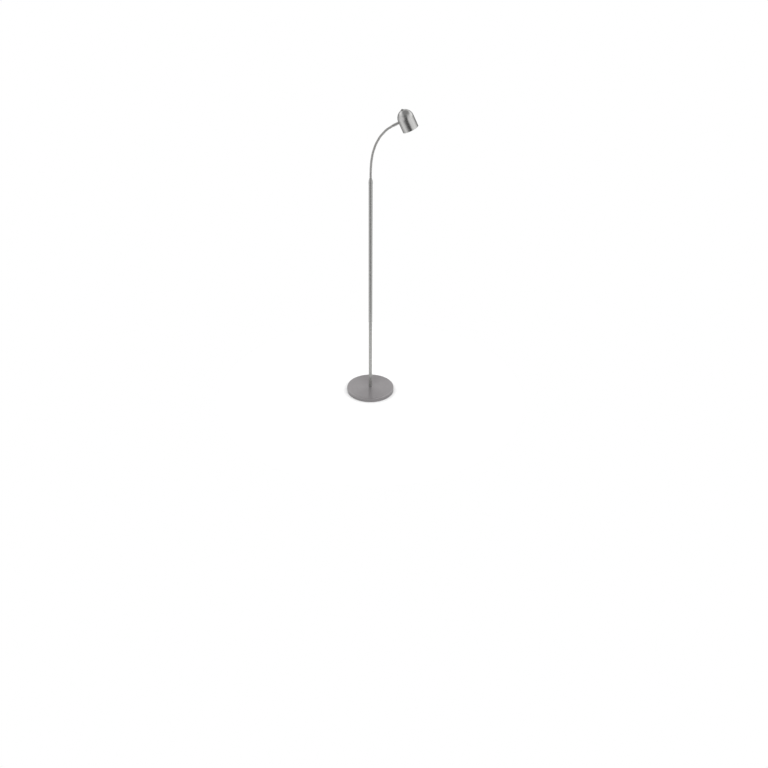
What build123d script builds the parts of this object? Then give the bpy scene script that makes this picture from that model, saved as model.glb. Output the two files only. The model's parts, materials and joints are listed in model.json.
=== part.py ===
from build123d import *
from math import acos, asin, cos, degrees, pi, radians, sin, tan
import os

# Gooseneck reading floor lamp. Millimetres, +Z up. The origin is the centre of the underside of the
# base pad, on the pole's axis. The neck bends towards +X and the cord inlet is at the back, on +Y.

os.makedirs("parts", exist_ok=True)

# ---------------------------------------------------------------- driving dimensions
BASE_D = 230.0  # outside diameter of the base cover
BASE_H = 22.0  # floor to the top of the base cover
POLE_D = 17.0  # outside diameter of both pole tubes
POLE_SEAM_Z = 632.0  # where the lower and upper tube meet
COLLAR_TOP_Z = 1072.0  # top of the cone at the head of the pole
NECK_D = 10.0  # outside diameter of the gooseneck
LINK_L = 12.7  # distance between two neck pivots
TRIPLETS = 7  # groups of three pivots: bend, sway, bend
NECK_END_ANGLE = 64.0  # direction of the neck at the head, from vertical
NECK_CURL = 1.8  # exponent of the neck's angle along its length
SHADE_D = 70.0  # outside diameter of the shade
SHADE_SIDE_L = 48.5  # straight side of the shade, from its mouth
SHOULDER_R = 42.0  # radius of the dome's shoulder, which meets the side tangentially
SHOULDER_TURN = 41.0  # turn of the shoulder before the smaller crown arc takes over
NECK_ENTRY_T = 46.0  # height above the mouth at which the neck enters the shade

# ---------------------------------------------------------------- shared small dimensions
FIT_GAP = 0.05  # radial gap of threads and press fits
RUN_GAP = 0.3  # gap round a moving piece
THREAD_R = 5.0  # M10 threaded tube
THREAD_BORE_R = 3.8
LEAD_R = 1.5  # internal two-core lead
SHEET_T = 1.0  # pressed steel of the shade

# ================================================================ base

PAD_T = 2.0
PAD_R = BASE_D / 2 - 3
COVER_T = 1.2
COVER_RIM_Z = 1.0
COVER_EDGE_R = 4.0
INLET_Z = 8.0
GROMMET_HOLE_R = 4.4
GROMMET_BORE_R = 3.2
GROMMET_FLANGE_R = 5.4
GROMMET_FLANGE_T = 1.5
WEIGHT_R = BASE_D / 2 - COVER_T - 0.4
WEIGHT_TOP_Z = BASE_H - COVER_T
LEDGE_Z = 14.0  # roof of the pocket under the weight
POCKET_R = 22.0
CHANNEL_W = 16.0
WASHER_T = 1.5
NUT_T = 5.0
NUT_FLATS = 17.0
NIPPLE_END_Z = 7.0
POLE_FOOT_Z = BASE_H
COVER_INSIDE_R = BASE_D / 2 - COVER_T

with BuildPart() as base_cover:
    with BuildSketch(Plane.XY.offset(COVER_RIM_Z)):
        Circle(BASE_D / 2)
    extrude(amount=BASE_H - COVER_RIM_Z)
    fillet(base_cover.faces().sort_by(Axis.Z)[-1].edges(), COVER_EDGE_R)
    offset(amount=-COVER_T, openings=base_cover.faces().sort_by(Axis.Z)[0])
    with BuildSketch(Plane.XY.offset(BASE_H)):
        Circle(THREAD_R + 0.2)
    extrude(amount=-2 * COVER_T, mode=Mode.SUBTRACT)
    with BuildSketch(Plane.XZ.offset(-COVER_INSIDE_R + 5)):
        with Locations((0, INLET_Z)):
            Circle(GROMMET_HOLE_R + 0.1)
    extrude(amount=-10, mode=Mode.SUBTRACT)
base_cover.part.label = "base_cover"
export_step(base_cover.part, "parts/base_cover.step")

with BuildPart() as base_weight:
    with BuildSketch(Plane.XY.offset(PAD_T)):
        Circle(WEIGHT_R)
    extrude(amount=WEIGHT_TOP_Z - PAD_T)
    fillet(base_weight.faces().sort_by(Axis.Z)[-1].edges(), COVER_EDGE_R)
    with BuildSketch(Plane.XY.offset(PAD_T)):
        Circle(POCKET_R)
        with Locations((0, BASE_D / 4)):
            Rectangle(CHANNEL_W, BASE_D / 2)
    extrude(amount=LEDGE_Z - PAD_T, mode=Mode.SUBTRACT)
    with BuildSketch(Plane.XY.offset(PAD_T)):
        Circle(THREAD_R + 0.2)
    extrude(amount=BASE_H, mode=Mode.SUBTRACT)
base_weight.part.label = "base_weight"
export_step(base_weight.part, "parts/base_weight.step")

with BuildPart() as base_pad:
    with BuildSketch(Plane.XY):
        Circle(PAD_R)
    extrude(amount=PAD_T)
    chamfer(base_pad.edges().group_by(Axis.Z)[0], 0.5)
base_pad.part.label = "base_pad"
export_step(base_pad.part, "parts/base_pad.step")

with BuildPart() as foot_washer:
    with BuildSketch(Plane.XY.offset(LEDGE_Z - WASHER_T)):
        Circle(17)
        Circle(THREAD_R + 0.2, mode=Mode.SUBTRACT)
    extrude(amount=WASHER_T)
foot_washer.part.label = "foot_washer"
export_step(foot_washer.part, "parts/foot_washer.step")

with BuildPart() as foot_nut:
    with BuildSketch(Plane.XY.offset(LEDGE_Z - WASHER_T - NUT_T)):
        RegularPolygon(NUT_FLATS / 2, 6, major_radius=False)
        Circle(THREAD_R + FIT_GAP, mode=Mode.SUBTRACT)
    extrude(amount=NUT_T)
foot_nut.part.label = "foot_nut"
export_step(foot_nut.part, "parts/foot_nut.step")

with BuildPart() as cord_grommet:
    with BuildSketch(Plane.YZ):
        with BuildLine():
            Polyline(
                (COVER_INSIDE_R - 0.2 - GROMMET_FLANGE_T, INLET_Z + GROMMET_BORE_R),
                (COVER_INSIDE_R - 0.2 - GROMMET_FLANGE_T, INLET_Z + GROMMET_FLANGE_R),
                (COVER_INSIDE_R - 0.2, INLET_Z + GROMMET_FLANGE_R),
                (COVER_INSIDE_R - 0.2, INLET_Z + GROMMET_HOLE_R),
                (BASE_D / 2 + 0.1, INLET_Z + GROMMET_HOLE_R),
                (BASE_D / 2 + 0.1, INLET_Z + GROMMET_FLANGE_R),
                (BASE_D / 2 + 0.1 + GROMMET_FLANGE_T, INLET_Z + GROMMET_FLANGE_R - 0.6),
                (BASE_D / 2 + 0.1 + GROMMET_FLANGE_T, INLET_Z + GROMMET_BORE_R),
                close=True,
            )
        make_face()
    revolve(axis=Axis((0, 0, INLET_Z), (0, 1, 0)))
cord_grommet.part.label = "cord_grommet"
export_step(cord_grommet.part, "parts/cord_grommet.step")

# The connector joins the mains cord to the internal lead, in the channel under the weight.
CONNECTOR_W = 12.0
CONNECTOR_NEAR_Y = 44.0
CONNECTOR_L = 30.0
CONNECTOR_TOP_Z = 10.0
LEAD_Z = 5.0

with BuildPart() as lead_connector:
    with BuildSketch(Plane.XY.offset(PAD_T)):
        with Locations((0, CONNECTOR_NEAR_Y + CONNECTOR_L / 2)):
            Rectangle(CONNECTOR_W, CONNECTOR_L)
    extrude(amount=CONNECTOR_TOP_Z - PAD_T)
    fillet(lead_connector.edges().filter_by(Axis.Z), 2.0)
    chamfer(lead_connector.edges().group_by(Axis.Z)[-1], 0.6)
    with BuildSketch(Plane.XZ.offset(-CONNECTOR_NEAR_Y - CONNECTOR_L)):
        with Locations((0, LEAD_Z + 1)):
            Circle(2.6)
    extrude(amount=10, mode=Mode.SUBTRACT)
    with BuildSketch(Plane.XY.offset(CONNECTOR_TOP_Z)):
        with GridLocations(6, 14, 2, 2):
            with Locations((0, CONNECTOR_NEAR_Y + CONNECTOR_L / 2)):
                Circle(1.2)
    extrude(amount=-1.5, mode=Mode.SUBTRACT)
lead_connector.part.label = "lead_connector"
export_step(lead_connector.part, "parts/lead_connector.step")

# ================================================================ pole

TUBE_T = 1.0
POLE_BORE_R = POLE_D / 2 - TUBE_T
BUSHING_L = 24.0
COLLAR_H = 23.0
COLLAR_FOOT_Z = COLLAR_TOP_Z - COLLAR_H
COLLAR_SHOULDER_H = 4.0
POLE_TOP_Z = COLLAR_FOOT_Z + 5.0
COLLAR_R = POLE_D / 2 + 0.5
COLLAR_TOP_R = NECK_D / 2 + 0.6
NECK_R = NECK_D / 2
NECK_FOOT_Z = POLE_TOP_Z - 16.0


def tube(low, high, inner_r, outer_r):
    """A straight tube on the pole's axis, as one sketch to extrude between two heights."""
    with BuildPart() as made:
        with BuildSketch(Plane.XY.offset(low)):
            Circle(outer_r)
            Circle(inner_r, mode=Mode.SUBTRACT)
        extrude(amount=high - low)
        chamfer(made.edges().group_by(Axis.Z)[0], 0.3)
        chamfer(made.edges().group_by(Axis.Z)[-1], 0.3)
    return made.part


with BuildPart() as pole_lower:
    add(tube(POLE_FOOT_Z, POLE_SEAM_Z, POLE_BORE_R, POLE_D / 2))
pole_lower.part.label = "pole_lower"
export_step(pole_lower.part, "parts/pole_lower.step")

with BuildPart() as pole_upper:
    add(tube(POLE_SEAM_Z, POLE_TOP_Z, POLE_BORE_R, POLE_D / 2))
pole_upper.part.label = "pole_upper"
export_step(pole_upper.part, "parts/pole_upper.step")

# Four identical threaded bushings are pressed into the tube ends.
BUSHING_FEET = (
    POLE_FOOT_Z + 0.5,
    POLE_SEAM_Z - 0.5 - BUSHING_L,
    POLE_SEAM_Z + 0.5,
    POLE_TOP_Z - 0.5 - BUSHING_L,
)

with BuildPart() as pole_bushings:
    for foot in BUSHING_FEET:
        add(tube(foot, foot + BUSHING_L, THREAD_R + FIT_GAP, POLE_BORE_R - FIT_GAP))
pole_bushings.part.label = "pole_bushings"
export_step(pole_bushings.part, "parts/pole_bushings.step")

with BuildPart() as foot_nipple:
    add(tube(NIPPLE_END_Z, POLE_FOOT_Z + 22, THREAD_BORE_R, THREAD_R))
foot_nipple.part.label = "foot_nipple"
export_step(foot_nipple.part, "parts/foot_nipple.step")

with BuildPart() as joint_nipple:
    add(tube(POLE_SEAM_Z - 20, POLE_SEAM_Z + 20, THREAD_BORE_R, THREAD_R))
joint_nipple.part.label = "joint_nipple"
export_step(joint_nipple.part, "parts/joint_nipple.step")

with BuildPart() as pole_collar:
    with BuildSketch(Plane.XZ):
        with BuildLine():
            skirt = Line((POLE_D / 2 + FIT_GAP, COLLAR_FOOT_Z), (COLLAR_R, COLLAR_FOOT_Z))
            side = Line(skirt @ 1, (COLLAR_R, COLLAR_FOOT_Z + COLLAR_SHOULDER_H))
            cone = ThreePointArc(
                side @ 1,
                ((COLLAR_R + COLLAR_TOP_R) / 2 + 0.7, COLLAR_TOP_Z - COLLAR_H / 2 + 2),
                (COLLAR_TOP_R, COLLAR_TOP_Z),
            )
            Polyline(
                cone @ 1,
                (NECK_R + FIT_GAP, COLLAR_TOP_Z),
                (NECK_R + FIT_GAP, POLE_TOP_Z),
                (POLE_D / 2 + FIT_GAP, POLE_TOP_Z),
                skirt @ 0,
            )
        make_face()
    revolve(axis=Axis.Z)
pole_collar.part.label = "pole_collar"
export_step(pole_collar.part, "parts/pole_collar.step")

# ================================================================ gooseneck
# The neck is a chain of short links with ball ends. Its angle from vertical grows along its length as
# a power law, and each bend pivot takes the turn of the stretch between its two neighbours' midpoints.

PIVOTS = 3 * TRIPLETS
FIRST_PIVOT_Z = COLLAR_TOP_Z + 2.0
BALL_R = 3.9
SOCKET_R = 4.0
LINK_FACE = 0.9  # lower face of a link, above its own pivot
LINK_RIM = 0.8  # upper rim of a link, below the next pivot
LINK_BORE_R = 2.5
FERRULE_L = 26.0  # last pivot to the outside of the shade
FERRULE_R = 6.0
STUB_R = 4.0
STUB_L = 9.5  # threaded stub inside the shade's outside radius
RIB_GROOVES = 6
FIRST_GROOVE = 4.0
GROOVE_PITCH = 3.6
GROOVE_W = 0.9
GROOVE_DEPTH = 0.6

bend_pivots = [i for i in range(PIVOTS) if i % 3 != 1]


def neck_angle(steps):
    """The neck's angle from vertical, in degrees, this many links above the first pivot."""
    return NECK_END_ANGLE * (steps / (PIVOTS - 1)) ** NECK_CURL


def link_angles():
    """The angle of the piece above each pivot."""
    angles = []
    for pivot in range(PIVOTS):
        last_bend = max(i for i in bend_pivots if i <= pivot)
        later = [i for i in bend_pivots if i > last_bend]
        reach = (last_bend + later[0]) / 2 if later else PIVOTS - 1
        angles.append(neck_angle(reach))
    return angles


def direction(angle):
    """The unit vector in the XZ plane at this angle from vertical."""
    return Vector(sin(radians(angle)), 0, cos(radians(angle)))


angles = link_angles()
pivots = [Vector(0, 0, FIRST_PIVOT_Z)]
for angle in angles[:-1]:
    pivots.append(pivots[-1] + direction(angle) * LINK_L)
along = [Plane(origin=p, x_dir=(0, 1, 0), z_dir=direction(a)) for p, a in zip(pivots, angles)]

with BuildPart() as neck_root:
    with BuildSketch(Plane.XY.offset(NECK_FOOT_Z)):
        Circle(NECK_R)
    extrude(amount=FIRST_PIVOT_Z - LINK_RIM - NECK_FOOT_Z)
    with Locations(pivots[0]):
        Sphere(SOCKET_R, mode=Mode.SUBTRACT)
    with BuildSketch(Plane.XY.offset(NECK_FOOT_Z)):
        Circle(LINK_BORE_R)
    extrude(amount=FIRST_PIVOT_Z - NECK_FOOT_Z, mode=Mode.SUBTRACT)
neck_root.part.label = "neck_root"
export_step(neck_root.part, "parts/neck_root.step")

for i in range(PIVOTS - 1):
    with BuildPart() as neck_link:
        with BuildSketch(along[i].offset(LINK_FACE)):
            Circle(NECK_R)
        extrude(amount=LINK_L - LINK_FACE - LINK_RIM)
        with Locations(pivots[i]):
            Sphere(BALL_R)
        with Locations(pivots[i + 1]):
            Sphere(SOCKET_R, mode=Mode.SUBTRACT)
        with BuildSketch(along[i].offset(-BALL_R)):
            Circle(LINK_BORE_R)
        extrude(amount=LINK_L + BALL_R, mode=Mode.SUBTRACT)
    neck_link.part.label = f"neck_link_{i + 1:02d}"
    export_step(neck_link.part, f"parts/neck_link_{i + 1:02d}.step")

# ================================================================ head
# The head is built about its own axis, which is square to the end of the neck. Heights in it are
# measured from the mouth of the shade, t = 0, along that axis.

SHADE_R = SHADE_D / 2
head_x = direction(NECK_END_ANGLE)
head_up = direction(NECK_END_ANGLE - 90)
entry = pivots[-1] + head_x * (FERRULE_L + SHADE_R)
mouth = entry - head_up * NECK_ENTRY_T
head_axis = Axis(mouth, head_up)
head_profile = Plane(origin=mouth, x_dir=head_x, z_dir=(0, -1, 0))
across = Plane(origin=entry, x_dir=(0, 1, 0), z_dir=head_x)


def head_plane(t):
    """The plane across the head at height t, with local x away from the neck."""
    return Plane(origin=mouth + head_up * t, x_dir=head_x, z_dir=head_up)


with BuildPart() as neck_ferrule:
    with BuildSketch(along[-1].offset(LINK_FACE)):
        Circle(FERRULE_R)
    extrude(amount=FERRULE_L + 2 - LINK_FACE)
    for n in range(RIB_GROOVES):
        with BuildSketch(along[-1].offset(FIRST_GROOVE + n * GROOVE_PITCH)):
            Circle(FERRULE_R + 1)
            Circle(FERRULE_R - GROOVE_DEPTH, mode=Mode.SUBTRACT)
        extrude(amount=GROOVE_W, mode=Mode.SUBTRACT)
    with BuildSketch(head_plane(0)):
        Circle(SHADE_R + FIT_GAP)
    extrude(amount=SHADE_SIDE_L + SHADE_R, mode=Mode.SUBTRACT)
    with Locations(pivots[-1]):
        Sphere(BALL_R)
    with BuildSketch(along[-1].offset(FERRULE_L - 2)):
        Circle(STUB_R)
    extrude(amount=STUB_L + 2)
    with BuildSketch(along[-1].offset(-BALL_R)):
        Circle(LINK_BORE_R)
    extrude(amount=BALL_R + FERRULE_L + STUB_L, mode=Mode.SUBTRACT)
neck_ferrule.part.label = "neck_ferrule"
export_step(neck_ferrule.part, "parts/neck_ferrule.step")

# ---------------------------------------------------------------- shade

RIM_T = 1.8  # thickness of the rolled rim at the mouth
CROWN_FLAT_R = 7.7
SWITCH_HOLE_R = 5.5
SHADE_BORE_R = SHADE_R - SHEET_T
SHOULDER_X = SHADE_R - SHOULDER_R
CROWN_CENTRE_T = SHADE_SIDE_L - SHOULDER_X * tan(radians(SHOULDER_TURN))
CROWN_R = SHOULDER_R + SHOULDER_X / cos(radians(SHOULDER_TURN))
CROWN_T = CROWN_CENTRE_T + CROWN_R * sin(acos(CROWN_FLAT_R / CROWN_R))
crown_turn = degrees(acos(CROWN_FLAT_R / CROWN_R))
crown_bore_turn = degrees(asin((CROWN_T - SHEET_T - CROWN_CENTRE_T) / (CROWN_R - SHEET_T)))


def dome_arcs(inset, turn):
    """The shoulder and crown arcs of the dome, inset from its outside, up to this angle."""
    shoulder = CenterArc((SHOULDER_X, SHADE_SIDE_L), SHOULDER_R - inset, 0, SHOULDER_TURN)
    crown = CenterArc((0, CROWN_CENTRE_T), CROWN_R - inset, SHOULDER_TURN, turn - SHOULDER_TURN)
    return shoulder @ 0, crown @ 1


with BuildPart() as shade_shell:
    with BuildSketch(head_profile):
        with BuildLine():
            side_top, crown_end = dome_arcs(0, crown_turn)
            bore_side_top, bore_crown_end = dome_arcs(SHEET_T, crown_bore_turn)
            Polyline(
                crown_end,
                (SWITCH_HOLE_R, CROWN_T),
                (SWITCH_HOLE_R, CROWN_T - SHEET_T),
                bore_crown_end,
            )
            Polyline(
                bore_side_top,
                (SHADE_BORE_R, 2 * RIM_T),
                (SHADE_R - RIM_T, RIM_T),
                (SHADE_R - RIM_T, 0),
                (SHADE_R, 0),
                side_top,
            )
        make_face()
        fillet(vertices().group_by(Axis.Y)[0], RIM_T / 3)
    revolve(axis=head_axis)
    with BuildSketch(across.offset(-SHADE_R - 1)):
        Circle(STUB_R + RUN_GAP)
    extrude(amount=10, mode=Mode.SUBTRACT)
shade_shell.part.label = "shade_shell"
export_step(shade_shell.part, "parts/shade_shell.step")

# ---------------------------------------------------------------- light engine

BEZEL_T = 16.0  # lower face of the bezel, above the mouth
BEZEL_LIP_R = 28.6
BEZEL_LIP_T = 1.6
BEZEL_WALL_R = 31.6
BEZEL_H = 6.0
DIFFUSER_T = 2.0
REFLECTOR_FLANGE_T = BEZEL_T + BEZEL_LIP_T + DIFFUSER_T
REFLECTOR_TOP_T = 33.3
REFLECTOR_TOP_R = 10.6
REFLECTOR_WALL = 1.2
SINK_T = 35.0
SINK_FLOOR = 3.0
SINK_TOP_T = SINK_T + SINK_FLOOR
FIN_TOP_T = 42.0
FINS = 12
LED_BOARD_R = 20.0
LED_BOARD_H = 1.6
SCREW_R = 1.4
SCREW_HEAD_R = 2.6
SCREW_HEAD_H = 1.8
BOARD_T = 56.0
BOARD_R = 29.0
BOARD_H = 1.6
STANDOFF_CIRCLE_R = 26.0
STANDOFF_FLATS = 5.0

with BuildPart() as bezel_ring:
    with BuildSketch(head_profile):
        with BuildLine():
            Polyline(
                (BEZEL_LIP_R, BEZEL_T + 0.6),
                (BEZEL_LIP_R + 0.6, BEZEL_T),
                (SHADE_BORE_R - 0.2, BEZEL_T),
                (SHADE_BORE_R - 0.2, BEZEL_T + BEZEL_H),
                (BEZEL_WALL_R, BEZEL_T + BEZEL_H),
                (BEZEL_WALL_R, BEZEL_T + BEZEL_LIP_T),
                (BEZEL_LIP_R, BEZEL_T + BEZEL_LIP_T),
                close=True,
            )
        make_face()
    revolve(axis=head_axis)
bezel_ring.part.label = "bezel_ring"
export_step(bezel_ring.part, "parts/bezel_ring.step")

with BuildPart() as diffuser:
    with BuildSketch(head_plane(BEZEL_T + BEZEL_LIP_T)):
        Circle(BEZEL_WALL_R - 0.1)
    extrude(amount=DIFFUSER_T)
diffuser.part.label = "diffuser"
export_step(diffuser.part, "parts/diffuser.step")

with BuildPart() as reflector:
    with BuildSketch(head_profile):
        with BuildLine():
            Polyline(
                (BEZEL_WALL_R - 2.3, REFLECTOR_FLANGE_T),
                (BEZEL_WALL_R - 0.2, REFLECTOR_FLANGE_T),
                (BEZEL_WALL_R - 0.2, REFLECTOR_FLANGE_T + 1),
                (BEZEL_WALL_R - 1.3, REFLECTOR_FLANGE_T + 1),
                (REFLECTOR_TOP_R + REFLECTOR_WALL, REFLECTOR_TOP_T),
                (REFLECTOR_TOP_R, REFLECTOR_TOP_T),
                close=True,
            )
        make_face()
    revolve(axis=head_axis)
reflector.part.label = "reflector"
export_step(reflector.part, "parts/reflector.step")

with BuildPart() as led_emitter:
    with BuildSketch(head_plane(SINK_T - LED_BOARD_H - 0.8)):
        Circle(REFLECTOR_TOP_R - 1)
    extrude(amount=0.8)
led_emitter.part.label = "led_emitter"
export_step(led_emitter.part, "parts/led_emitter.step")

with BuildPart() as led_board:
    with BuildSketch(head_plane(SINK_T - LED_BOARD_H)):
        Circle(LED_BOARD_R)
    extrude(amount=LED_BOARD_H)
led_board.part.label = "led_board"
export_step(led_board.part, "parts/led_board.step")

# Two screws hold the bracket's foot to the heat sink.
BRACKET_W = 16.0
BRACKET_T = 1.5
BRACKET_X = SHADE_BORE_R - 1.6  # the leg's outer face, from the head's axis
BRACKET_FOOT_L = 13.0
WASHER_R = 6.3
bracket_holes = [(10 - BRACKET_X, 5), (10 - BRACKET_X, -5)]

with BuildPart() as heat_sink:
    with BuildSketch(head_plane(SINK_T)):
        Circle(SHADE_BORE_R - 0.3)
        Circle(2.5, mode=Mode.SUBTRACT)
        with PolarLocations(STANDOFF_CIRCLE_R, 3):
            Circle(SCREW_R + 0.1, mode=Mode.SUBTRACT)
        with Locations(*bracket_holes):
            Circle(SCREW_R + 0.1, mode=Mode.SUBTRACT)
    extrude(amount=SINK_FLOOR)
    with BuildSketch(head_plane(SINK_TOP_T)):
        with PolarLocations(12, FINS):
            Rectangle(12, 1.4)
    extrude(amount=FIN_TOP_T - SINK_TOP_T)
heat_sink.part.label = "heat_sink"
export_step(heat_sink.part, "parts/heat_sink.step")

with BuildPart() as neck_bracket:
    with BuildSketch(across.offset(-BRACKET_X)):
        Rectangle(BRACKET_W, 2 * (NECK_ENTRY_T - SINK_TOP_T))
        Circle(STUB_R + RUN_GAP, mode=Mode.SUBTRACT)
    extrude(amount=BRACKET_T)
    with BuildSketch(head_plane(SINK_TOP_T)):
        with Locations((BRACKET_FOOT_L / 2 - BRACKET_X, 0)):
            Rectangle(BRACKET_FOOT_L, BRACKET_W)
        with Locations(*bracket_holes):
            Circle(SCREW_R + 0.2, mode=Mode.SUBTRACT)
    extrude(amount=BRACKET_T)
neck_bracket.part.label = "neck_bracket"
export_step(neck_bracket.part, "parts/neck_bracket.step")

with BuildPart() as bracket_screws:
    with BuildSketch(head_plane(SINK_T + 0.4)):
        with Locations(*bracket_holes):
            Circle(SCREW_R)
    extrude(amount=SINK_FLOOR + BRACKET_T - 0.4)
    with BuildSketch(head_plane(SINK_TOP_T + BRACKET_T)):
        with Locations(*bracket_holes):
            Circle(SCREW_HEAD_R)
    extrude(amount=SCREW_HEAD_H)
bracket_screws.part.label = "bracket_screws"
export_step(bracket_screws.part, "parts/bracket_screws.step")

with BuildPart() as neck_washer:
    with BuildSketch(across.offset(BRACKET_T - BRACKET_X)):
        Circle(WASHER_R)
        Circle(STUB_R + FIT_GAP, mode=Mode.SUBTRACT)
    extrude(amount=1)
neck_washer.part.label = "neck_washer"
export_step(neck_washer.part, "parts/neck_washer.step")

with BuildPart() as neck_nut:
    with BuildSketch(across.offset(BRACKET_T - BRACKET_X + 1)):
        RegularPolygon(6, 6, major_radius=False)
        Circle(STUB_R + FIT_GAP, mode=Mode.SUBTRACT)
    extrude(amount=4)
neck_nut.part.label = "neck_nut"
export_step(neck_nut.part, "parts/neck_nut.step")

# ---------------------------------------------------------------- driver

TERMINAL_NEAR_X = -14.0
TERMINAL_L = 10.0
TERMINAL_FOOT_T = 43.0
WIRE_R = 0.6

with BuildPart() as board_standoffs:
    with BuildSketch(head_plane(SINK_TOP_T)):
        with PolarLocations(STANDOFF_CIRCLE_R, 3):
            RegularPolygon(STANDOFF_FLATS / 2, 6, major_radius=False)
    extrude(amount=BOARD_T - SINK_TOP_T)
    with BuildSketch(head_plane(SINK_T + 0.4)):
        with PolarLocations(STANDOFF_CIRCLE_R, 3):
            Circle(SCREW_R)
    extrude(amount=SINK_FLOOR)
    with BuildSketch(head_plane(BOARD_T)):
        with PolarLocations(STANDOFF_CIRCLE_R, 3):
            Circle(SCREW_R + 0.1)
    extrude(amount=-7, mode=Mode.SUBTRACT)
board_standoffs.part.label = "board_standoffs"
export_step(board_standoffs.part, "parts/board_standoffs.step")

with BuildPart() as driver_board:
    with BuildSketch(head_plane(BOARD_T)):
        Circle(BOARD_R)
        with PolarLocations(STANDOFF_CIRCLE_R, 3):
            Circle(SCREW_R + 0.2, mode=Mode.SUBTRACT)
    extrude(amount=BOARD_H)
driver_board.part.label = "driver_board"
export_step(driver_board.part, "parts/driver_board.step")

with BuildPart() as board_screws:
    with BuildSketch(head_plane(BOARD_T - 5)):
        with PolarLocations(STANDOFF_CIRCLE_R, 3):
            Circle(SCREW_R)
    extrude(amount=5 + BOARD_H)
    with BuildSketch(head_plane(BOARD_T + BOARD_H)):
        with PolarLocations(STANDOFF_CIRCLE_R, 3):
            Circle(SCREW_HEAD_R)
    extrude(amount=SCREW_HEAD_H)
board_screws.part.label = "board_screws"
export_step(board_screws.part, "parts/board_screws.step")

# A capacitor, a coil and two chips stand on the board.
with BuildPart() as driver_components:
    with BuildSketch(head_plane(BOARD_T + BOARD_H)):
        with Locations((13, 9)):
            Circle(5)
    extrude(amount=12)
    with BuildSketch(head_plane(BOARD_T + BOARD_H)):
        with Locations((-12, -10)):
            Circle(6.5)
            Circle(2.5, mode=Mode.SUBTRACT)
    extrude(amount=7)
    with BuildSketch(head_plane(BOARD_T + BOARD_H)):
        with Locations((0, 16), (8, -14)):
            Rectangle(7, 5)
    extrude(amount=1.6)
driver_components.part.label = "driver_components"
export_step(driver_components.part, "parts/driver_components.step")

with BuildPart() as lead_terminal:
    with BuildSketch(head_plane(TERMINAL_FOOT_T)):
        with Locations((TERMINAL_NEAR_X + TERMINAL_L / 2, 0)):
            Rectangle(TERMINAL_L, TERMINAL_L)
    extrude(amount=BOARD_T - TERMINAL_FOOT_T)
lead_terminal.part.label = "lead_terminal"
export_step(lead_terminal.part, "parts/lead_terminal.step")

with BuildPart() as led_wires:
    with BuildSketch(head_plane(SINK_T)):
        with Locations((1.2, 0), (-1.2, 0)):
            Circle(WIRE_R)
    extrude(amount=BOARD_T - SINK_T)
led_wires.part.label = "led_wires"
export_step(led_wires.part, "parts/led_wires.step")

# ---------------------------------------------------------------- crown switch

SWITCH_FOOT_T = 68.0
SWITCH_R = 8.0
SWITCH_SHOULDER_T = CROWN_T - SHEET_T - 1.0
BUSHING_TOP_T = CROWN_T + 1.6
BUSHING_R = SWITCH_HOLE_R - 0.1
BUSHING_BORE_R = 4.4
CAVITY_FLOOR_T = 76.0
STEM_R = 1.6
STEM_FOOT_T = 73.0
STEM_HOLE_T = 70.2
RING_R = 7.4
CAP_R = BUSHING_BORE_R - RUN_GAP
CAP_FOOT_T = CROWN_T - 2.0
CAP_TOP_T = CROWN_T + 4.2
SPRING_R = 3.0
SPRING_WIRE_R = 0.3

with BuildPart() as switch_wires:
    with BuildSketch(head_plane(BOARD_T + BOARD_H)):
        with Locations((3, 0), (-3, 0)):
            Circle(WIRE_R)
    extrude(amount=SWITCH_FOOT_T - BOARD_T - BOARD_H)
switch_wires.part.label = "switch_wires"
export_step(switch_wires.part, "parts/switch_wires.step")

with BuildPart() as switch_body:
    with BuildSketch(head_profile):
        with BuildLine():
            Polyline(
                (0, SWITCH_FOOT_T),
                (SWITCH_R, SWITCH_FOOT_T),
                (SWITCH_R, SWITCH_SHOULDER_T),
                (BUSHING_R, SWITCH_SHOULDER_T),
                (BUSHING_R, BUSHING_TOP_T),
                (BUSHING_BORE_R, BUSHING_TOP_T),
                (BUSHING_BORE_R, CAVITY_FLOOR_T),
                (STEM_R + RUN_GAP, CAVITY_FLOOR_T),
                (STEM_R + RUN_GAP, STEM_HOLE_T),
                (0, STEM_HOLE_T),
                close=True,
            )
        make_face()
    revolve(axis=head_axis)
switch_body.part.label = "switch_body"
export_step(switch_body.part, "parts/switch_body.step")

with BuildPart() as switch_washer:
    with BuildSketch(head_plane(SWITCH_SHOULDER_T)):
        Circle(SWITCH_R - 0.3)
        Circle(SWITCH_HOLE_R, mode=Mode.SUBTRACT)
    extrude(amount=0.9)
switch_washer.part.label = "switch_washer"
export_step(switch_washer.part, "parts/switch_washer.step")

with BuildPart() as switch_ring:
    with BuildSketch(head_plane(CROWN_T)):
        Circle(RING_R)
        Circle(BUSHING_R + FIT_GAP, mode=Mode.SUBTRACT)
    extrude(amount=1.8)
    chamfer(switch_ring.edges().group_by(head_axis)[-1].sort_by(SortBy.LENGTH)[-1], 0.6)
switch_ring.part.label = "switch_ring"
export_step(switch_ring.part, "parts/switch_ring.step")

with BuildPart() as crown_button:
    with BuildSketch(head_plane(CAP_FOOT_T)):
        Circle(CAP_R)
    extrude(amount=CAP_TOP_T - CAP_FOOT_T)
    fillet(crown_button.edges().group_by(head_axis)[-1], 1.2)
    with BuildSketch(head_plane(STEM_FOOT_T)):
        Circle(STEM_R)
    extrude(amount=CAP_FOOT_T - STEM_FOOT_T)
crown_button.part.label = "crown_button"
export_step(crown_button.part, "parts/crown_button.step")

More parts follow.
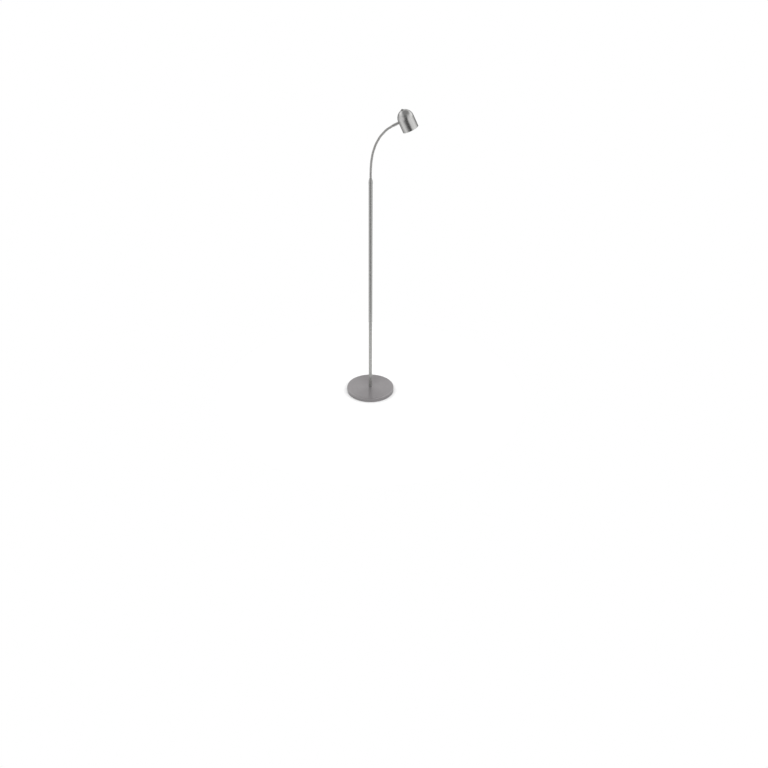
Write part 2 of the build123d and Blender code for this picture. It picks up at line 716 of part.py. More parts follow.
with BuildPart() as button_spring:
    with BuildLine() as coil:
        Helix(
            pitch=1.5,
            height=CAP_FOOT_T - CAVITY_FLOOR_T - 3 * SPRING_WIRE_R,
            radius=SPRING_R,
            center=mouth + head_up * (CAVITY_FLOOR_T + 1.5 * SPRING_WIRE_R),
            direction=head_up,
        )
    with BuildSketch(Plane(origin=coil.line @ 0, z_dir=coil.line % 0)):
        Circle(SPRING_WIRE_R)
    sweep(is_frenet=True)
button_spring.part.label = "button_spring"
export_step(button_spring.part, "parts/button_spring.step")

# ================================================================ internal lead
# One two-core lead runs from the connector in the base up the pole and the neck to the terminal in
# the head. Inside the nut and nipple it turns up in a tight arc; above, its arcs are as large as the
# neck's links allow.

LEAD_FOOT_R = 8.0
LEAD_OFFSET_Y = -1.8
LEAD_SHIFT_FOOT_Z = 60.0
LEAD_SHIFT_TOP_Z = 180.0
CORNER_SHARE = 0.45  # part of a run that each corner's arc may take

route = [
    Vector(0, CONNECTOR_NEAR_Y, LEAD_Z),
    Vector(0, LEAD_OFFSET_Y, LEAD_Z),
    Vector(0, LEAD_OFFSET_Y, LEAD_SHIFT_FOOT_Z),
    Vector(0, 0, LEAD_SHIFT_TOP_Z),
    *[pivots[i] for i in bend_pivots],
    entry + head_x * TERMINAL_NEAR_X,
]


def corner_radius(before, corner, after):
    """The largest arc at a corner that takes up no more than its share of either run."""
    arriving = corner - before
    leaving = after - corner
    half_turn = radians(arriving.get_angle(leaving)) / 2
    return CORNER_SHARE * min(arriving.length, leaving.length) / tan(half_turn)


radii = [corner_radius(*route[i - 1 : i + 2]) for i in range(1, len(route) - 1)]
radii[0] = LEAD_FOOT_R
print("lead radii, mm:", [round(r, 1) for r in radii])

with BuildPart() as supply_lead:
    with BuildLine() as lead_line:
        FilletPolyline(*route, radius=radii)
    with BuildSketch(Plane(origin=lead_line.line @ 0, z_dir=lead_line.line % 0)):
        Circle(LEAD_R)
    sweep()
lead_length = lead_line.wires()[0].length
print("lead length, mm:", round(lead_length, 1))
lead_share = supply_lead.part.volume / (pi * LEAD_R**2 * lead_length)
print("lead volume over its section times its length:", round(lead_share, 4))
supply_lead.part.label = "supply_lead"
export_step(supply_lead.part, "parts/supply_lead.step")
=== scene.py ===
"""Gooseneck reading floor lamp: the looks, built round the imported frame. Metres, +Z up, neck towards +X."""

import json
from itertools import accumulate
from math import cos, pi, radians, sin, sqrt, tau

import bpy
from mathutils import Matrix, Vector

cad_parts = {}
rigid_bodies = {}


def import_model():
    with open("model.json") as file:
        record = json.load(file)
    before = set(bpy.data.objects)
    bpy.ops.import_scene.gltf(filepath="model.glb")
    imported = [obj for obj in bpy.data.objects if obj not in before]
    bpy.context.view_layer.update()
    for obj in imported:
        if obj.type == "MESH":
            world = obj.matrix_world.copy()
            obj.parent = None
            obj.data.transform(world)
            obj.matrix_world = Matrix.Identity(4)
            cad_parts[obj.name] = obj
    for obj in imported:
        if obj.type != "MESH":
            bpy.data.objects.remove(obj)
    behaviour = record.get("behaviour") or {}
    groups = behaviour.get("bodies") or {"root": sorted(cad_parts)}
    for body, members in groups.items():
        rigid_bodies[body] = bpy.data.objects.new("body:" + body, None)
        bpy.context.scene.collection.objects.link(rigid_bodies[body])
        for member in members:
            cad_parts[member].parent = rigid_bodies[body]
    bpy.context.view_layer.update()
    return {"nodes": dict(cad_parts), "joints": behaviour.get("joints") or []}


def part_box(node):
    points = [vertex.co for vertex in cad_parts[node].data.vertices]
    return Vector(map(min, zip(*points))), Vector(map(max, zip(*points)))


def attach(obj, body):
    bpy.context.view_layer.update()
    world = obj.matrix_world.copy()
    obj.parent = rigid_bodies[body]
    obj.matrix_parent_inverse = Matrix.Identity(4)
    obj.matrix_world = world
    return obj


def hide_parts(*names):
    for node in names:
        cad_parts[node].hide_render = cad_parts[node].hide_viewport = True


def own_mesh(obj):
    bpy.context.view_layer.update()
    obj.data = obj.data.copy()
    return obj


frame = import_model()

# ---------------------------------------------------------------- camera, close to the photograph's own view
CAMERA_AT = (-0.0107, -3.279, 2.035)
CAMERA_PITCH = radians(29.32)
LENS_MM = 36.17
SENSOR_MM = 36.0
SHIFT_X = 0.0206
SHIFT_Y = -0.0365
CLIP_NEAR = 0.05
CLIP_FAR = 100.0

# ---------------------------------------------------------------- the neck: its hose and the lead inside
HOSE_R = 0.0050
HOSE_BORE_R = 0.0028
WIND_PITCH = 0.0026  # nearly, because each piece has a whole number of winds
WIND_DEPTH = 0.00048
BALL_R = 0.00455
BALL_REACH = 0.0015  # how far the ball goes past its pivot
SOCKET_R = 0.00462
SOCKET_DEPTH = 0.0026
JOINT_GAP = 0.0010  # keeps two pieces clear of each other when the joint bends
LEAD_R = 0.0015
LEAD_GAP = 0.00005  # from each end of a piece of lead to its pivot

HOSE_SIDES = 32
RINGS_PER_WIND = 12
BALL_RINGS = 6
BORE_RINGS = 5
SOCKET_RINGS = 4
LEAD_SIDES = 16
DOME_RINGS = 4

# ---------------------------------------------------------------- the lead in the stand and the spring
LEAD_LEVEL = 0.005
LEAD_SET_BACK = -0.0018
SPRING_WIRE_R = 0.0003
SPRING_PITCH = 0.0015
SPRING_SIDES = 12
SPRING_STEPS = 24  # rings in one turn

# ---------------------------------------------------------------- floor and light
FLOOR_R = 0.75
FLOOR_SIDES = 96
FLOOR_TONE = 0.86
KEY_AIM = (0.0, 0.25, -1.0)
KEY_ANGLE = radians(110)
KEY_STRENGTH = 2.2

# ---------------------------------------------------------------- places, all from the frame
UP = Vector((0, 0, 1))
SIDE = Vector((0, 1, 0))
chain = [joint for joint in frame["joints"] if joint["name"].startswith("neck_")]
button_joint = next(joint for joint in frame["joints"] if joint["name"] == "button_press")
pivots = [Vector(joint["pos_m"]) for joint in chain]
head_up = -Vector(button_joint["axis"]).normalized()
head_x = SIDE.cross(head_up).normalized()


def span(node, direction):
    """Lowest and highest reach of a CAD node along a direction."""
    reaches = [vertex.co.dot(direction) for vertex in frame["nodes"][node].data.vertices]
    return min(reaches), max(reaches)


def level(point, direction, reach):
    """The point, moved along a direction to where its reach is as given."""
    return point + direction * (reach - point.dot(direction))


def even(first, last, count):
    """Evenly spaced values from first to last, with both of them."""
    return [first + (last - first) * i / count for i in range(count + 1)]


shade_middle = sum(span("shade_shell", head_x)) / 2
shade_mouth = span("shade_shell", head_up)[0]
head_axis_at = head_x * shade_middle + head_up * shade_mouth
base_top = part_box("base_cover")[1].z


# ================================================================ materials


class Tree:
    """A short way to write a node tree."""

    def __init__(self, owner):
        owner.use_nodes = True
        self.tree = owner.node_tree
        self.tree.nodes.clear()

    def give(self, socket, value):
        """Links a socket to another one, or sets it to a constant."""
        if isinstance(value, bpy.types.NodeSocket):
            self.tree.links.new(value, socket)
        else:
            socket.default_value = value

    def add(self, kind, inputs=None, **settings):
        """A node with its settings, and its inputs by their names or numbers."""
        node = self.tree.nodes.new(kind)
        for key, value in settings.items():
            setattr(node, key, value)
        for key, value in (inputs or {}).items():
            self.give(node.inputs[key], value)
        return node

    def maths(self, operation, first, second):
        return self.add("ShaderNodeMath", {0: first, 1: second}, operation=operation).outputs[0]

    def vector(self, operation, first, second=(0, 0, 0)):
        node = self.add("ShaderNodeVectorMath", {0: first, 1: second}, operation=operation)
        return node.outputs["Value" if operation in ("DOT_PRODUCT", "LENGTH") else "Vector"]

    def scaled(self, vector, scale):
        return self.add("ShaderNodeVectorMath", {0: vector, "Scale": scale}, operation="SCALE").outputs[0]

    def noise(self, vector, scale, detail=2.0, roughness=0.5, w=None):
        """Noise of three dimensions, or of four where w is given."""
        inputs = {"Vector": vector, "Scale": scale, "Detail": detail, "Roughness": roughness}
        if w is not None:
            inputs["W"] = w
        dimensions = "3D" if w is None else "4D"
        return self.add("ShaderNodeTexNoise", inputs, noise_dimensions=dimensions).outputs["Fac"]

    def spread(self, value, low, high, from_low=0.3, from_high=0.7):
        """The value's range, by default where most noise lies, drawn out to low and high."""
        inputs = {"Value": value, "From Min": from_low, "From Max": from_high, "To Min": low, "To Max": high}
        return self.add("ShaderNodeMapRange", inputs).outputs["Result"]

    def mix(self, share, first, second):
        """A mix of two colours, which are the Mix node's seventh and eighth inputs."""
        node = self.add("ShaderNodeMix", {0: share, 6: first, 7: second}, data_type="RGBA")
        return node.outputs[2]

    def bump(self, height, strength, depth):
        """The normal of a surface that is raised by a height."""
        inputs = {"Height": height, "Strength": strength, "Distance": depth}
        return self.add("ShaderNodeBump", inputs).outputs[0]

    def principled(self, **inputs):
        """The Principled shader and the material's output. Its inputs' names are written with underscores."""
        named = {name.replace("_", " "): value for name, value in inputs.items()}
        shader = self.add("ShaderNodeBsdfPrincipled", named)
        self.add("ShaderNodeOutputMaterial", {"Surface": shader.outputs[0]})


def begin(name):
    """A new material, its tree and the object's own coordinates."""
    material = bpy.data.materials.new(name)
    tree = Tree(material)
    return material, tree, tree.add("ShaderNodeTexCoord").outputs["Object"]


def rgb(red, green, blue):
    return (red, green, blue, 1.0)


QUARTER_TURN = 0.25
COARSE_GRAIN = 9  # how much wider the coarse grooves are than the fine ones
FINE_SHARE = 0.55
COARSE_SHARE = 0.45
# Painted shade: the base's side wall is darkened in its colour by this share, and these are the heights where
# the darkening sets in.
RIM_SHADE_TONE = 0.8
BASE_SHADED_RIM = (base_top - 0.006, base_top - 0.001)
WIRE_STRETCH = (3.0, 60.0, 1.0)  # how fine the wire's grain is round the hose and along it


def turned_metal(name, light, dark, at=(0, 0, 0), axis=(0, 0, 1), rough=0.3, brushing=0.5, grain=0.00035,
                 streak=4.0, relief=0.2, lacquer=0.0, shaded_rim=None):
    """Metal brushed in circles round an axis: fine grooves, uneven tone and a highlight drawn across them.
    The lacquer over it scatters a share of the light evenly. Below the rim's heights its colour is darkened:
    painted shade."""
    material, tree, place = begin(name)
    out = tree.vector("SUBTRACT", place, tuple(at))
    height = tree.vector("DOT_PRODUCT", out, tuple(axis))
    radial = tree.vector("SUBTRACT", out, tree.scaled(tuple(axis), height))
    radius = tree.vector("LENGTH", radial)
    around = tree.vector("NORMALIZE", radial)
    rising = tree.maths("ADD", height, radius)
    across = tree.maths("SUBTRACT", height, radius)

    def grooves(size, streaks):
        """Noise that is long round the axis and short across it."""
        flat = tree.scaled(around, streaks)
        lifted = tree.vector("ADD", flat, tree.scaled(tuple(axis), tree.maths("DIVIDE", across, size)))
        return tree.noise(lifted, scale=1.0, detail=3.0, roughness=0.6, w=tree.maths("DIVIDE", rising, size))

    fine = grooves(grain, streak)
    coarse = grooves(grain * COARSE_GRAIN, streak / 2)
    cloud = tree.noise(place, scale=14.0, detail=3.0)
    fine_part = tree.maths("MULTIPLY", fine, FINE_SHARE)
    tone = tree.maths("ADD", fine_part, tree.maths("MULTIPLY", coarse, COARSE_SHARE))
    colour = tree.mix(tree.spread(tone, 0.0, 1.0), rgb(*dark), rgb(*light))
    # Painted shade: below the rim's heights the colour turns darker.
    if shaded_rim:
        painted_rim_shade = rgb(*(channel * RIM_SHADE_TONE for channel in dark))
        colour = tree.mix(tree.spread(height, 1.0, 0.0, *shaded_rim), colour, painted_rim_shade)
    worn = tree.maths("ADD", tree.spread(cloud, -0.035, 0.045), tree.spread(tone, rough - 0.05, rough + 0.07))
    circling = tree.add(
        "ShaderNodeVectorTransform", {"Vector": tree.vector("CROSS_PRODUCT", tuple(axis), around)},
        vector_type="VECTOR", convert_from="OBJECT", convert_to="WORLD")
    tree.principled(
        Base_Color=colour, Metallic=1.0 - lacquer, Roughness=worn, Anisotropic=brushing,
        Anisotropic_Rotation=QUARTER_TURN, Normal=tree.bump(fine, strength=relief, depth=0.00006),
        Tangent=circling.outputs[0])
    return material


def plain_metal(name, light, dark, rough, scale=900.0):
    """Plated or cast metal with a fine mottle."""
    material, tree, place = begin(name)
    mottle = tree.noise(place, scale, detail=4.0, roughness=0.6)
    tree.principled(
        Base_Color=tree.mix(tree.spread(mottle, 0.0, 1.0), rgb(*dark), rgb(*light)), Metallic=1.0,
        Roughness=tree.spread(mottle, rough - 0.08, rough + 0.1),
        Normal=tree.bump(mottle, strength=0.25, depth=0.0001))
    return material


def moulded(name, light, dark, rough, scale=1400.0, depth=0.00004):
    """Moulded plastic or rubber: a fine texture and slightly uneven tone."""
    material, tree, place = begin(name)
    texture = tree.noise(place, scale, detail=3.0, roughness=0.55)
    drift = tree.noise(place, scale=60.0)
    tree.principled(
        Base_Color=tree.mix(tree.spread(drift, 0.0, 1.0), rgb(*dark), rgb(*light)),
        Roughness=tree.spread(texture, rough - 0.06, rough + 0.06),
        Normal=tree.bump(texture, strength=0.3, depth=depth))
    return material


def wound_steel(name, light, dark):
    """The hose: drawn wire, with its grain along the wind, as the piece's UV map says."""
    material = bpy.data.materials.new(name)
    tree = Tree(material)
    chart = tree.add("ShaderNodeUVMap", uv_map="wind").outputs["UV"]
    stretched = tree.vector("MULTIPLY", chart, WIRE_STRETCH)
    wire = tree.noise(stretched, scale=3.0, detail=3.0, roughness=0.6)
    rubbed = tree.noise(chart, scale=1.3)
    tree.principled(
        Base_Color=tree.mix(tree.spread(wire, 0.0, 1.0), rgb(*dark), rgb(*light)), Metallic=0.75,
        Roughness=tree.maths("ADD", tree.spread(wire, 0.26, 0.38), tree.spread(rubbed, -0.03, 0.05)),
        Normal=tree.bump(wire, strength=0.2, depth=0.00005))
    return material


def opal(name, light, dark):
    """The diffuser: milky plastic that lets light through."""
    material, tree, place = begin(name)
    frosting = tree.noise(place, scale=2600.0)
    tree.principled(
        Base_Color=tree.mix(frosting, rgb(*dark), rgb(*light)), Roughness=tree.spread(frosting, 0.3, 0.42),
        Subsurface_Weight=0.3, Subsurface_Radius=(0.004, 0.004, 0.004),
        Normal=tree.bump(frosting, strength=0.25, depth=0.00003))
    return material


def circuit_board(name, light, dark):
    """Solder mask over copper: a woven laminate and slightly raised tracks."""
    material, tree, place = begin(name)
    bricks = {"Vector": place, "Scale": 160.0, "Mortar Size": 0.03}
    tracks = tree.add("ShaderNodeTexBrick", bricks).outputs["Fac"]
    laminate = tree.noise(place, scale=1800.0)
    tree.principled(
        Base_Color=tree.mix(tracks, rgb(*dark), rgb(*light)), Roughness=tree.spread(laminate, 0.3, 0.45),
        Normal=tree.bump(tracks, strength=0.4, depth=0.00005))
    return material


# The base's side wall has painted shade in its colour.
base_nickel = turned_metal(
    "base_nickel", (0.385, 0.368, 0.374), (0.305, 0.291, 0.296), rough=0.32, brushing=0.8, grain=0.0005,
    lacquer=0.3, shaded_rim=BASE_SHADED_RIM)
pole_nickel = turned_metal(
    "pole_nickel", (0.42, 0.42, 0.41), (0.34, 0.34, 0.33), rough=0.24, brushing=0.6, streak=1.2, lacquer=0.3)
head_nickel = turned_metal(
    "head_nickel", (0.565, 0.561, 0.553), (0.51, 0.506, 0.498), at=head_axis_at, axis=head_up, rough=0.17,
    brushing=0.6, streak=3.0, relief=0.1)
switch_nickel = turned_metal(
    "switch_nickel", (0.40, 0.397, 0.39), (0.32, 0.317, 0.31), at=head_axis_at, axis=head_up, rough=0.24,
    brushing=0.4, streak=1.2)
ferrule_nickel = turned_metal(
    "ferrule_nickel", (0.60, 0.595, 0.585), (0.50, 0.495, 0.485), at=pivots[-1], axis=head_x, rough=0.30,
    streak=1.2, lacquer=0.15)
hose_steel = wound_steel("hose_steel", (0.47, 0.465, 0.455), (0.36, 0.355, 0.345))
lead_black = moulded("lead_sheath_black", (0.03, 0.03, 0.032), (0.018, 0.018, 0.02), 0.45)
zinc_plate = plain_metal("zinc_plate", (0.66, 0.66, 0.63), (0.52, 0.52, 0.48), 0.34)

SLOT_MATERIALS = {
    "brushed_nickel": pole_nickel,
    "neck_steel": hose_steel,
    "cast_iron": plain_metal("cast_iron_grey", (0.16, 0.155, 0.15), (0.08, 0.078, 0.075), 0.62, 500.0),
    "pad_rubber": moulded("pad_foam_rubber", (0.035, 0.035, 0.036), (0.02, 0.02, 0.021), 0.85, 700.0, 0.0002),
    "grommet_rubber": moulded("grommet_black", (0.03, 0.03, 0.03), (0.018, 0.018, 0.018), 0.55),
    "plated_steel": zinc_plate,
    "white_plastic": moulded("white_moulded", (0.84, 0.84, 0.82), (0.78, 0.78, 0.76), 0.42),
    "opal_plastic": opal("opal_diffuser", (0.93, 0.93, 0.91), (0.86, 0.86, 0.84)),
    "led_phosphor": moulded("phosphor", (0.85, 0.68, 0.16), (0.76, 0.58, 0.10), 0.5),
    "led_board_white": circuit_board("led_board_mask", (0.80, 0.80, 0.78), (0.72, 0.72, 0.70)),
    "sink_aluminium": plain_metal("cast_aluminium", (0.70, 0.70, 0.70), (0.58, 0.58, 0.59), 0.45),
    "board_green": circuit_board("driver_board_mask", (0.03, 0.17, 0.07), (0.02, 0.12, 0.05)),
    "component_black": moulded("component_case", (0.035, 0.035, 0.037), (0.02, 0.02, 0.021), 0.4),
    "lead_sheath": lead_black,
}
NODE_MATERIALS = {
    "base_cover": base_nickel,
    "shade_shell": head_nickel,
    "switch_ring": switch_nickel,
    "crown_button": switch_nickel,
    "neck_ferrule": ferrule_nickel,
}


def dress(name, thing):
    """Gives a CAD node its finish: its own, or that of its slot."""
    for slot in thing.material_slots:
        slot.material = NODE_MATERIALS.get(name) or SLOT_MATERIALS[slot.material.name]


for node_name, node_object in frame["nodes"].items():
    dress(node_name, node_object)


# ================================================================ meshes


def ring_band(low, high, sides):
    """The faces between two rings, by the numbers of the rings' first vertices."""
    return [(low + k, low + (k + 1) % sides, high + (k + 1) % sides, high + k) for k in range(sides)]


def ring_points(centre, across, upward, radius, sides):
    """A ring of points round a centre, in the plane of two directions."""
    angles = [tau * k / sides for k in range(sides)]
    return [centre + (across * cos(angle) + upward * sin(angle)) * radius for angle in angles]


def smooth_piece(name, vertices, faces, material):
    """A smooth-shaded object from its vertices and faces."""
    mesh = bpy.data.meshes.new(name)
    mesh.from_pydata(vertices, [], faces)
    mesh.polygons.foreach_set("use_smooth", [True] * len(faces))
    mesh.materials.append(material)
    piece = bpy.data.objects.new(name, mesh)
    bpy.context.collection.objects.link(piece)
    return piece


def closed_loop(name, rings, ends, charts, material):
    """A watertight piece of rings, each joined to the next and the last to the first. The bands after the
    rings in ends are flat, and charts has each ring's place along the UV map."""
    sides = len(rings[0])
    vertices = [point for ring in rings for point in ring]
    faces = []
    for i in range(len(rings)):
        faces += ring_band(i * sides, (i + 1) % len(rings) * sides, sides)
    piece = smooth_piece(name, vertices, faces, material)
    layer = piece.data.uv_layers.new(name="wind")
    for face in piece.data.polygons:
        ring, k = divmod(face.index, sides)
        face.use_smooth = ring not in ends
        along = (charts[ring], charts[ring], charts[ring + 1], charts[ring + 1])
        for loop, u, v in zip(face.loop_indices, (k, k + 1, k + 1, k), along):
            layer.data[loop].uv = (u / sides, v)
    return piece


def solid_rod(name, rings, material):
    """A rod through the rings, closed by a fan of faces at each end."""
    sides = len(rings[0])
    vertices = [point for ring in rings for point in ring]
    vertices += [sum(rings[0], Vector()) / sides, sum(rings[-1], Vector()) / sides]
    first_tip = len(vertices) - 2
    last_tip = len(vertices) - 1
    last_ring = (len(rings) - 1) * sides
    faces = []
    for i in range(len(rings) - 1):
        faces += ring_band(i * sides, (i + 1) * sides, sides)
    for k in range(sides):
        right = (k + 1) % sides
        faces.append((right, k, first_tip))
        faces.append((last_ring + k, last_ring + right, last_tip))
    return smooth_piece(name, vertices, faces, material)


# ================================================================ neck
# The hose has one piece on the stand and one on each link, from pivot to pivot along one smooth line, cut
# between two winds. A ball on the far end of each piece turns in a socket in the next, so that an opened
# joint shows no gap. The last ball is out of sight in the end fitting.


class Run:
    """The neck's line from one knot to the next. It goes on straight past both."""

    def __init__(self, start, end, first_heading, last_heading):
        self.start, self.end = start, end
        self.first_heading, self.last_heading = first_heading, last_heading
        self.length = (end - start).length
        self.first_handle = start + first_heading * self.length / 3
        self.last_handle = end - last_heading * self.length / 3

    def at(self, distance):
        """The point at a distance along the line, and the line's direction there."""
        if distance <= 0:
            return self.start + self.first_heading * distance, self.first_heading
        if distance >= self.length:
            return self.end + self.last_heading * (distance - self.length), self.last_heading
        t = distance / self.length
        point = (self.start * (1 - t) ** 3 + self.first_handle * 3 * t * (1 - t) ** 2
                 + self.last_handle * 3 * t * t * (1 - t) + self.end * t ** 3)
        heading = ((self.first_handle - self.start) * (1 - t) ** 2
                   + (self.last_handle - self.first_handle) * 2 * t * (1 - t)
                   + (self.end - self.last_handle) * t * t)
        return point, heading.normalized()

    def rings(self, profile, sides):
        """Rings square to the line, for a profile of (distance, radius) points."""
        rings = []
        for distance, radius in profile:
            centre, along = self.at(distance)
            rings.append(ring_points(centre, SIDE.cross(along), SIDE, radius, sides))
        return rings


def hose_sections(length, foot_joint):
    """A hose piece's profile as (distance, radius) points, in its sections: winds, ball, bore and socket."""
    winds = max(1, round(length / WIND_PITCH))
    foot = JOINT_GAP / 2 if foot_joint else 0.0
    outside = []
    for distance in even(foot, length - JOINT_GAP / 2, winds * RINGS_PER_WIND):
        valley = 0.5 + 0.5 * cos(tau * winds * distance / length)
        outside.append((distance, HOSE_R - WIND_DEPTH * valley ** 2))
    reaches = even(-JOINT_GAP / 2, BALL_REACH, BALL_RINGS)
    ball = [(length + reach, sqrt(BALL_R ** 2 - reach ** 2)) for reach in reaches]
    bore_foot = SOCKET_DEPTH if foot_joint else 0.0
    bore = [(distance, HOSE_BORE_R) for distance in even(length + BALL_REACH, bore_foot, BORE_RINGS)]
    if not foot_joint:
        return [outside, ball, bore]
    depths = even(SOCKET_DEPTH, foot, SOCKET_RINGS)
    socket = [(depth, sqrt(SOCKET_R ** 2 - depth ** 2)) for depth in depths]
    return [outside, ball, bore, socket]


def lead_profile(length):
    """A length of lead with a round end just short of each pivot."""
    dome = [(LEAD_R * (1 - cos(turn)), LEAD_R * sin(turn)) for turn in even(0, pi / 2, DOME_RINGS)[1:]]
    foot = [(LEAD_GAP + distance, radius) for distance, radius in dome]
    straight = [(distance, LEAD_R) for distance in even(foot[-1][0], length - foot[-1][0], BORE_RINGS)[1:-1]]
    return foot + straight + [(length - distance, radius) for distance, radius in reversed(foot)]


def add_hose(number, run, body, travelled):
    """One piece of hose. Its UV map goes on from where the pieces below it have travelled to."""
    sections = hose_sections(run.length, foot_joint=number > 0)
    profile = [point for section in sections for point in section]
    ends = [total - 1 for total in accumulate(len(section) for section in sections)]
    charts = [(travelled + distance) / WIND_PITCH for distance, radius in profile + profile[:1]]
    hose = closed_loop(f"hose_{number:02d}", run.rings(profile, HOSE_SIDES), ends, charts, hose_steel)
    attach(hose, body)
    if number > 0:
        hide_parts(f"neck_link_{number:02d}")


def add_link_lead(number, run, body):
    """The lead's piece inside one link."""
    lead = solid_rod(f"lead_{number:02d}", run.rings(lead_profile(run.length), LEAD_SIDES), lead_black)
    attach(lead, body)


knots = [Vector((0, 0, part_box("neck_root")[1].z))] + pivots
middle_headings = [(after - before).normalized() for before, after in zip(knots, knots[2:])]
headings = [UP] + middle_headings + [head_x]
travelled = 0.0
for number, joint in enumerate(chain):
    run = Run(knots[number], knots[number + 1], headings[number], headings[number + 1])
    add_hose(number, run, joint["parent"], travelled)
    if number > 0:
        add_link_lead(number, run, joint["parent"])
    travelled += run.length


# ================================================================ lead in the stand and the head


def lead_piece(name, points, body):
    """A stretch of the lead that stays in one body, as a smooth round cable."""
    curve = bpy.data.curves.new(name, "CURVE")
    curve.dimensions = "3D"
    curve.bevel_depth = LEAD_R
    curve.bevel_resolution = 4
    curve.use_fill_caps = True
    spline = curve.splines.new("NURBS")
    spline.points.add(len(points) - 1)
    for place, point in zip(spline.points, points):
        place.co = (*point, 1.0)
    spline.use_endpoint_u = True
    spline.order_u = 3
    curve.materials.append(lead_black)
    piece = bpy.data.objects.new(name, curve)
    bpy.context.collection.objects.link(piece)
    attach(piece, body)
    return piece


connector_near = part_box("lead_connector")[0].y
stand_route = [
    (0, connector_near, LEAD_LEVEL),
    (0, 0.030, LEAD_LEVEL),
    (0, 0.012, LEAD_LEVEL),
    (0, LEAD_SET_BACK, LEAD_LEVEL),
    (0, LEAD_SET_BACK, 0.022),
    (0, LEAD_SET_BACK, 0.060),
    (0, LEAD_SET_BACK / 2, 0.120),
    (0, 0, 0.180),
    (0, 0, 0.600),
    tuple(pivots[0]),
]
stand_lead = lead_piece("lead_in_stand", stand_route, "stand")
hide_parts("supply_lead")
terminal_face = level(pivots[-1], head_x, span("lead_terminal", head_x)[0])
lead_piece("lead_in_head", [pivots[-1], (pivots[-1] + terminal_face) / 2, terminal_face], "head")


# ================================================================ the button's spring


def spring_ring(turns, foot, radius):
    """One ring of the spring's wire, square to its helix."""
    angle = tau * turns
    outward = head_x * cos(angle) + SIDE * sin(angle)
    onward = SIDE * cos(angle) - head_x * sin(angle)
    along = (onward * tau * radius + head_up * SPRING_PITCH).normalized()
    centre = foot + outward * radius + head_up * SPRING_PITCH * turns
    return ring_points(centre, outward, along.cross(outward), SPRING_WIRE_R, SPRING_SIDES)


def add_spring():
    """The coil in the CAD spring's place, fixed to the head, with a mesh of its own."""
    low, high = span("button_spring", head_up)
    left, right = span("button_spring", SIDE)
    radius = (right - left) / 2 - SPRING_WIRE_R
    foot = level(head_axis_at, head_up, low + SPRING_WIRE_R)
    turns = (high - low - 2 * SPRING_WIRE_R) / SPRING_PITCH
    rings = [spring_ring(turn, foot, radius) for turn in even(0, turns, round(turns * SPRING_STEPS))]
    spring = solid_rod("button_spring_coil", rings, zinc_plate)
    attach(spring, "head")
    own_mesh(spring)
    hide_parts("button_spring")


add_spring()


# ================================================================ floor, world, lights, camera


def paper(name, tone):
    """The pale floor, very slightly uneven."""
    material, tree, place = begin(name)
    grain = tree.noise(place, scale=5.0, detail=3.0)
    lighter = tone + 0.01
    tree.principled(
        Base_Color=tree.mix(grain, rgb(tone, tone, tone), rgb(lighter, lighter, lighter)), Roughness=0.9,
        Specular_IOR_Level=0.1)
    return material


def make_floor():
    """A round floor that takes the lamp's soft shadow. Past its edge the camera sees the world's white."""
    corners = ring_points(Vector(), Vector((1, 0, 0)), SIDE, FLOOR_R, FLOOR_SIDES)
    mesh = bpy.data.meshes.new("floor")
    mesh.from_pydata(corners, [], [range(FLOOR_SIDES)])
    mesh.materials.append(paper("floor_white", FLOOR_TONE))
    floor = bpy.data.objects.new("floor", mesh)
    bpy.context.collection.objects.link(floor)


# The room that the metal reflects, as (turn, grey) stops for the directions well below the horizon, near it
# and well above it. A turn of 0.5 is behind the camera, 0.25 is at its left, 0.75 is at its right, and 0
# and 1 are past the lamp.
UNDER_STOPS = [
    (0.00, 0.35), (0.10, 0.38), (0.20, 0.72), (0.26, 1.00), (0.33, 1.00), (0.39, 0.72), (0.45, 0.25),
    (0.485, 0.09), (0.53, 0.09), (0.58, 0.90), (0.63, 1.05), (0.72, 1.00), (0.82, 0.50), (1.00, 0.35)]
LOW_STOPS = [
    (0.00, 0.30), (0.12, 0.34), (0.22, 0.80), (0.30, 1.00), (0.40, 0.85), (0.46, 0.30), (0.50, 0.11),
    (0.54, 0.11), (0.585, 0.95), (0.64, 1.10), (0.73, 1.15), (0.79, 0.70), (0.86, 0.32), (1.00, 0.30)]
HIGH_STOPS = [
    (0.00, 0.78), (0.08, 0.82), (0.17, 1.40), (0.25, 1.15), (0.36, 0.62), (0.44, 0.24), (0.53, 0.24),
    (0.59, 0.80), (0.74, 1.20), (0.83, 1.40), (0.92, 0.82), (1.00, 0.78)]
TOP_GREY = 0.36

# The heights of a direction of length 1 between which one band of the room turns into the next.
UNDER_TO_LOW = (-0.35, -0.1)
LOW_TO_HIGH = (0.15, 0.4)
HIGH_TO_TOP = (0.62, 0.86)


def ramp(tree, value, stops):
    """A soft ramp of greys through (position, grey) stops. All positions come first, because they sort it."""
    node = tree.add("ShaderNodeValToRGB", {"Fac": value})
    node.color_ramp.interpolation = "EASE"
    elements = node.color_ramp.elements
    while len(elements) < len(stops):
        elements.new(0.5)
    for element, (position, grey) in zip(elements, stops):
        element.position = position
    for element, (position, grey) in zip(elements, stops):
        element.color = rgb(grey, grey, grey)
    return node.outputs["Color"]


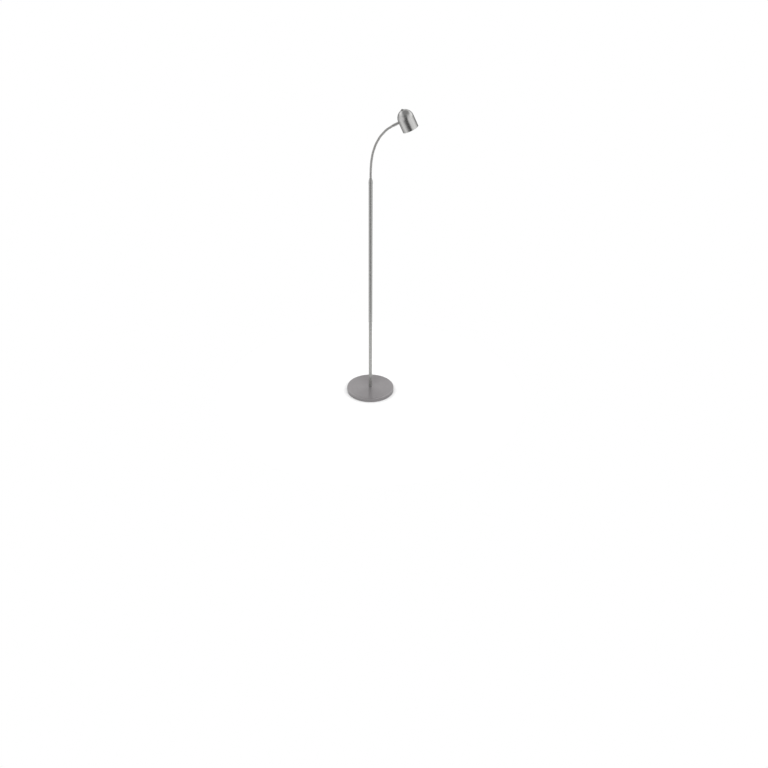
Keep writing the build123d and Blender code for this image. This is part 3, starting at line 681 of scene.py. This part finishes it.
def make_world():
    """A studio as the metal sees it: bright at both sides, dark behind the camera, grey past the lamp and
    overhead. The camera itself sees plain white."""
    world = bpy.data.worlds.new("studio")
    tree = Tree(world)
    facing = tree.add("ShaderNodeTexCoord").outputs["Generated"]
    x, y, z = tree.add("ShaderNodeSeparateXYZ", {0: facing}).outputs
    azimuth = tree.maths("ARCTAN2", x, tree.maths("MULTIPLY", y, -1.0))
    turn = tree.maths("ADD", tree.maths("DIVIDE", azimuth, tau), 0.5)
    lower = tree.mix(tree.spread(z, 0.0, 1.0, *UNDER_TO_LOW), ramp(tree, turn, UNDER_STOPS),
                     ramp(tree, turn, LOW_STOPS))
    walls = tree.mix(tree.spread(z, 0.0, 1.0, *LOW_TO_HIGH), lower, ramp(tree, turn, HIGH_STOPS))
    room = tree.mix(tree.spread(z, 0.0, 1.0, *HIGH_TO_TOP), walls, rgb(TOP_GREY, TOP_GREY, TOP_GREY))
    seen = tree.add("ShaderNodeLightPath").outputs["Is Camera Ray"]
    backdrop = tree.add("ShaderNodeBackground", {"Color": tree.mix(seen, room, rgb(1.0, 1.0, 1.0))})
    tree.add("ShaderNodeOutputWorld", {"Surface": backdrop.outputs[0]})
    bpy.context.scene.world = world


def make_key():
    """A broad soft light from above, which the metal doesn't mirror."""
    data = bpy.data.lights.new("key", "SUN")
    data.angle = KEY_ANGLE
    data.energy = KEY_STRENGTH
    light = bpy.data.objects.new("key", data)
    light.rotation_mode = "QUATERNION"
    light.rotation_quaternion = Vector(KEY_AIM).to_track_quat("-Z", "Y")
    light.visible_glossy = False
    bpy.context.collection.objects.link(light)


def make_camera():
    """A camera that looks along +Y and down by its pitch."""
    data = bpy.data.cameras.new("camera")
    data.sensor_width = SENSOR_MM
    data.lens = LENS_MM
    data.shift_x = SHIFT_X
    data.shift_y = SHIFT_Y
    data.dof.use_dof = False
    data.clip_start = CLIP_NEAR
    data.clip_end = CLIP_FAR
    camera = bpy.data.objects.new("camera", data)
    camera.location = CAMERA_AT
    camera.rotation_euler = (pi / 2 - CAMERA_PITCH, 0, 0)
    bpy.context.collection.objects.link(camera)
    bpy.context.scene.camera = camera


make_floor()
make_world()
make_key()
make_camera()
bpy.context.scene.view_settings.view_transform = "Standard"
